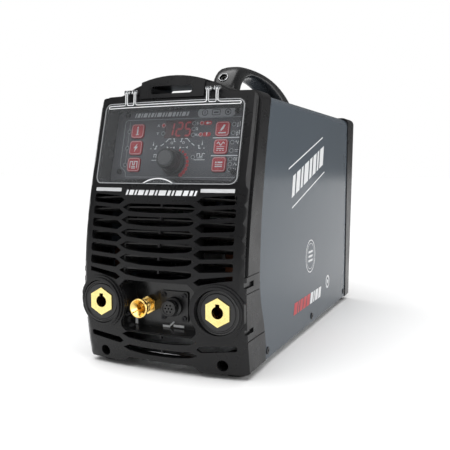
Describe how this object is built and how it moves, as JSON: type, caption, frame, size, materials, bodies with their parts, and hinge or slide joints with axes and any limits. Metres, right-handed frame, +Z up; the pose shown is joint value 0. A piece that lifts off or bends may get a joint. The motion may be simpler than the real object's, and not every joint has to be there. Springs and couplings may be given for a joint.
{
  "type": "TIG welding machine",
  "caption": "Portable inverter welder: moulded ends with a grille and hinged clear cover, wrapped steel case, carry handle, weld sockets, gas fittings and a fan.",
  "frame": {"origin": "centre of the footprint, on the surface the machine stands on", "axes": "+Z up, +Y from the control end to the fan end, +X to the right when facing the controls"},
  "size_m": [0.2, 0.5095, 0.3595],
  "materials": {
    "moulding_black": "moulded ABS, fine spark texture, satin",
    "handle_black": "moulded nylon, semi-gloss",
    "inner_black": "glass-filled nylon, matt",
    "socket_black": "glass-filled nylon, satin",
    "trim_silver": "brushed foil",
    "fascia_grey": "printed polyester film",
    "display_red": "red filter window",
    "lamp_lens": "small clear lenses",
    "board_green": "solder mask",
    "black_steel": "black oxide",
    "zinc_steel": "zinc plated",
    "knob_grey": "soft-touch",
    "key_red": "silicone keycap",
    "clear_polycarbonate": "clear moulded polycarbonate",
    "bright_wire": "polished nickel",
    "brass": "turned, bright",
    "case_paint": "slate grey gloss powder coat",
    "plate_paint": "black powder coat",
    "foot_rubber": "soft rubber",
    "rocker_red": "moulded rocker",
    "hose_rubber": "reinforced gas hose",
    "sleeve_blue": "shrink sleeve",
    "sink_aluminium": "extruded",
    "ferrite": "sintered",
    "copper": "enamelled copper"
  },
  "bodies": {
    "case": {"front_bezel": "moulding_black", "grille_louvres": "inner_black", "trim_bars": "trim_silver", "connector_panel": "moulding_black", "control_panel": "fascia_grey", "display_module": "inner_black", "display_window": "display_red", "indicator_leds": "lamp_lens", "control_board": "board_green", "panel_screws": "black_steel", "encoder_body": "zinc_steel", "hinge_wires": "bright_wire", "socket_left": "socket_black", "socket_right": "socket_black", "insert_left": "brass", "insert_right": "brass", "socket_nuts": "inner_black", "gas_outlet": "brass", "control_socket": "socket_black", "control_insert": "inner_black", "connector_screws": "black_steel", "wrap_cover": "case_paint", "base_tray": "zinc_steel", "rubber_feet": "foot_rubber", "front_bolts": "black_steel", "cover_screws": "black_steel", "handle": "handle_black", "handle_fasteners": "bright_wire", "rear_bezel": "moulding_black", "rear_panel": "plate_paint", "rear_screws": "black_steel", "fan_frame": "inner_black", "fan_guard": "bright_wire", "switch_body": "socket_black", "gas_valve": "brass", "gas_hose": "hose_rubber", "cable_gland": "socket_black", "gland_nut": "socket_black", "earth_stud": "brass", "shelf_plate": "zinc_steel", "power_board": "board_green", "capacitors": "sleeve_blue", "heatsinks": "sink_aluminium", "power_modules": "inner_black", "transformer_core": "ferrite", "transformer_coils": "copper", "output_choke": "copper", "start_coil": "copper", "busbars": "copper"},
    "cover": {"clear_cover": "clear_polycarbonate"},
    "knob": {"knob": "knob_grey", "encoder_shaft": "zinc_steel"},
    "fan": {"fan_rotor": "inner_black"},
    "rocker": {"switch_rocker": "rocker_red"},
    "key_info": {"key_info": "key_red"},
    "key_strike": {"key_strike": "key_red"},
    "key_pulse": {"key_pulse": "key_red"},
    "key_torch": {"key_torch": "key_red"},
    "key_current": {"key_current": "key_red"},
    "key_trigger": {"key_trigger": "key_red"}
  },
  "joints": [
    {"name": "cover_hinge", "type": "hinge", "parent": "case", "child": "cover", "pos_m": [0, -0.21335, 0.3076], "axis": [-1, 0, 0], "range_deg": [0, 105]},
    {"name": "knob_turn", "type": "hinge", "parent": "case", "child": "knob", "pos_m": [-0.0022, -0.20569, 0.22885], "axis": [0, -0.9654, 0.2607], "continuous": true},
    {"name": "fan_spin", "type": "hinge", "parent": "case", "child": "fan", "pos_m": [0, 0.19385, 0.091], "axis": [0, 1, 0], "continuous": true},
    {"name": "rocker_tilt", "type": "hinge", "parent": "case", "child": "rocker", "pos_m": [-0.058, 0.21625, 0.255], "axis": [-1, 0, 0], "range_deg": [0, 16]},
    {"name": "key_info_press", "type": "slide", "parent": "case", "child": "key_info", "axis": [0, 0.9654, -0.2607], "range_m": [0, 0.0009], "stiffness_N_per_m": 600},
    {"name": "key_strike_press", "type": "slide", "parent": "case", "child": "key_strike", "axis": [0, 0.9654, -0.2607], "range_m": [0, 0.0009], "stiffness_N_per_m": 600},
    {"name": "key_pulse_press", "type": "slide", "parent": "case", "child": "key_pulse", "axis": [0, 0.9654, -0.2607], "range_m": [0, 0.0009], "stiffness_N_per_m": 600},
    {"name": "key_torch_press", "type": "slide", "parent": "case", "child": "key_torch", "axis": [0, 0.9654, -0.2607], "range_m": [0, 0.0009], "stiffness_N_per_m": 600},
    {"name": "key_current_press", "type": "slide", "parent": "case", "child": "key_current", "axis": [0, 0.9654, -0.2607], "range_m": [0, 0.0009], "stiffness_N_per_m": 600},
    {"name": "key_trigger_press", "type": "slide", "parent": "case", "child": "key_trigger", "axis": [0, 0.9654, -0.2607], "range_m": [0, 0.0009], "stiffness_N_per_m": 600}
  ]
}
